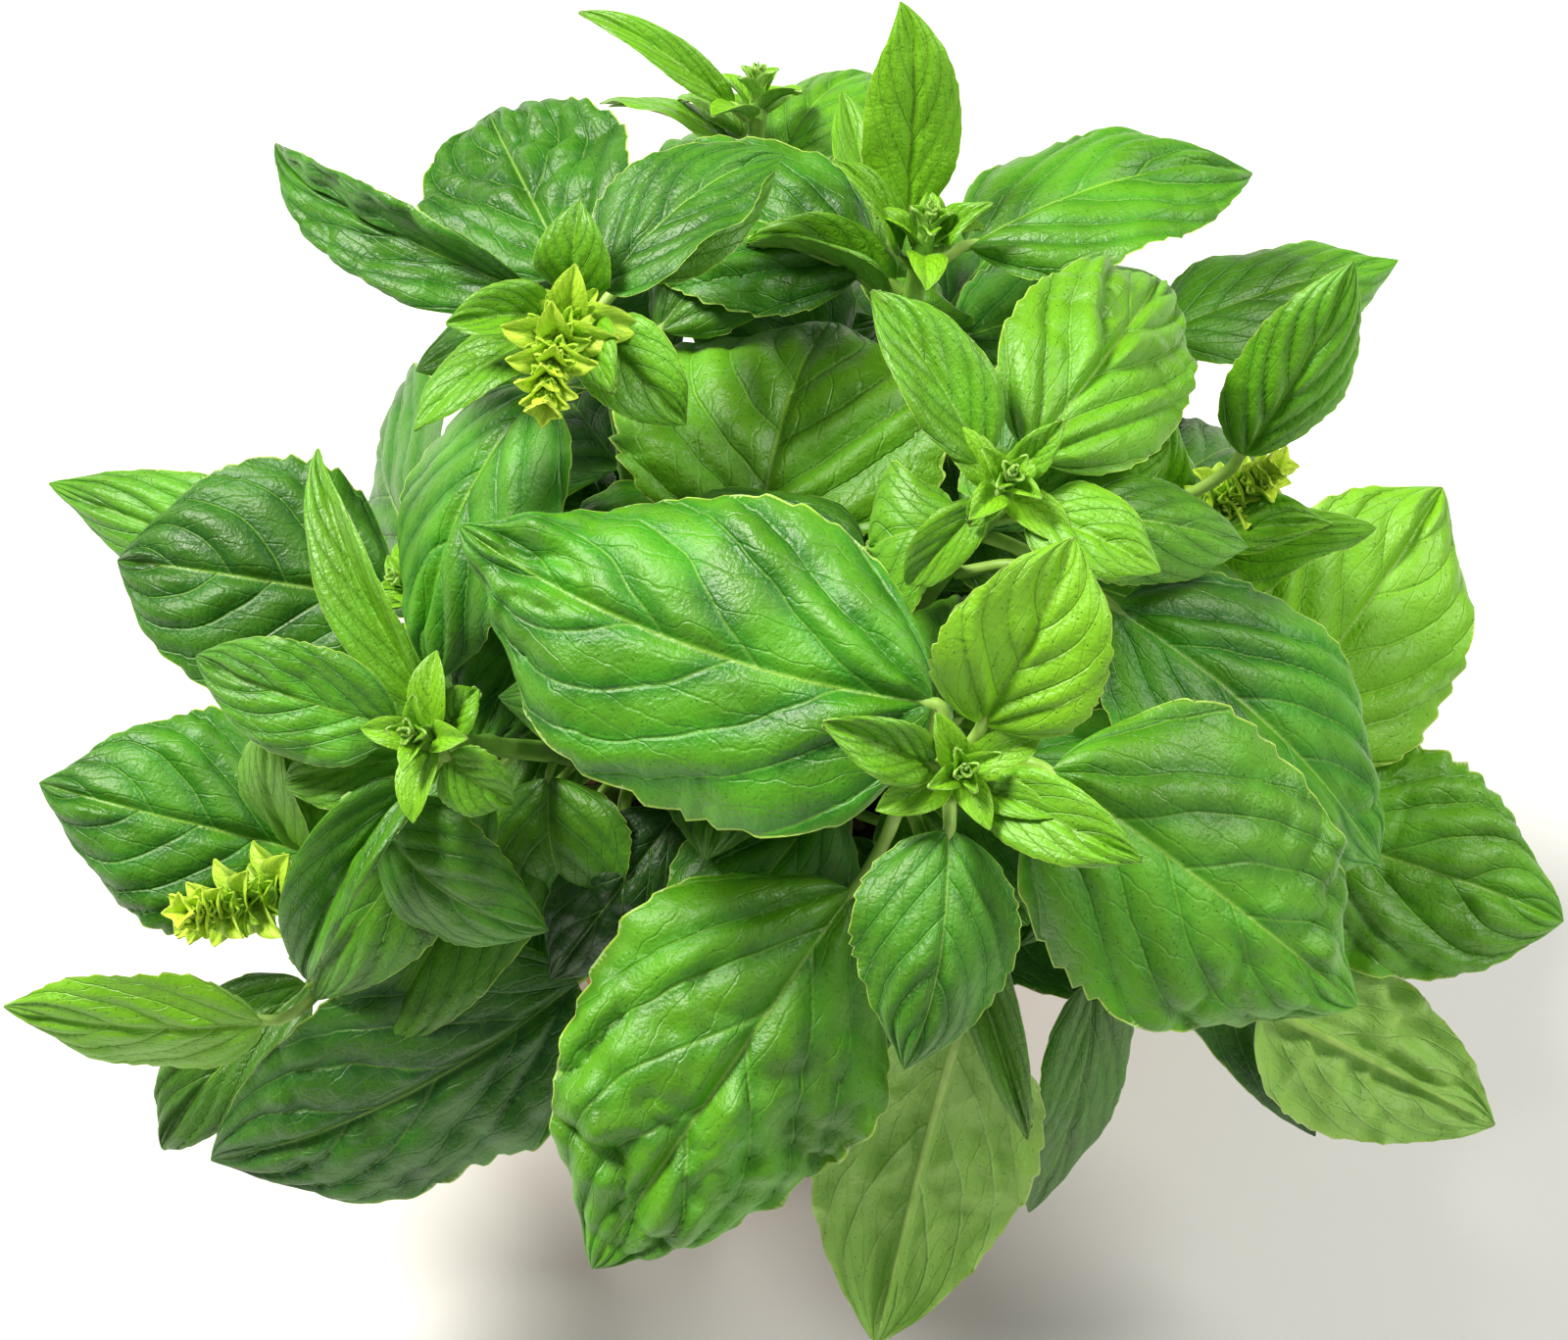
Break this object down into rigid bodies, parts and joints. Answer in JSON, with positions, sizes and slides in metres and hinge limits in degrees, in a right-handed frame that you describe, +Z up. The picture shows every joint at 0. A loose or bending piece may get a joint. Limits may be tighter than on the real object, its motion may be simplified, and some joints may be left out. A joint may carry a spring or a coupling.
{
  "type": "potted basil plant",
  "caption": "Bushy culinary basil in a plain clay pot: leaning stems, glossy puckered leaves and young flower spikes over potting compost.",
  "frame": {"origin": "middle of the pot's flat underside, on the surface that it stands on", "axes": "+Z up along the pot's axis; -Y towards the side where the foliage hangs lowest; +X to the right seen from there"},
  "size_m": [0.238, 0.209, 0.2063],
  "materials": {
    "clay": "matte",
    "compost": "matte",
    "stem": "satin",
    "leaf": "satin"
  },
  "bodies": {
    "root": {"pot": "clay", "soil": "compost", "stem_front": "stem", "leaf_front_1": "leaf", "leaf_front_2": "leaf", "leaf_front_3": "leaf", "leaf_front_4": "leaf", "leaf_front_5": "leaf", "leaf_front_6": "leaf", "leaf_front_7": "leaf", "leaf_front_8": "leaf", "leaf_front_9": "leaf", "stem_middle": "stem", "leaf_middle_1": "leaf", "leaf_middle_2": "leaf", "leaf_middle_3": "leaf", "leaf_middle_4": "leaf", "leaf_middle_5": "leaf", "stem_left": "stem", "leaf_left_1": "leaf", "leaf_left_2": "leaf", "leaf_left_3": "leaf", "leaf_left_4": "leaf", "leaf_left_5": "leaf", "stem_back": "stem", "leaf_back_1": "leaf", "leaf_back_2": "leaf", "leaf_back_3": "leaf", "leaf_back_4": "leaf", "leaf_back_5": "leaf", "leaf_back_6": "leaf", "stem_far_back": "stem", "leaf_far_back_1": "leaf", "leaf_far_back_2": "leaf", "leaf_far_back_3": "leaf", "stem_right": "stem", "leaf_right_1": "leaf", "stem_left_front": "stem", "leaf_left_front_1": "leaf", "leaf_left_front_2": "leaf", "leaf_left_front_3": "leaf", "leaf_left_front_4": "leaf", "leaf_left_front_5": "leaf", "leaf_left_front_6": "leaf", "stem_far_left": "stem", "leaf_far_left_1": "leaf", "leaf_far_left_2": "leaf", "leaf_far_left_3": "leaf", "leaf_far_left_4": "leaf", "stem_centre": "stem", "leaf_centre_1": "leaf", "leaf_centre_2": "leaf", "stem_right_low": "stem", "leaf_right_low_1": "leaf", "leaf_right_low_2": "leaf", "leaf_right_low_3": "leaf", "stem_left_mid": "stem", "leaf_left_mid_1": "leaf", "leaf_left_mid_2": "leaf", "leaf_left_mid_3": "leaf"}
  },
  "joints": []
}
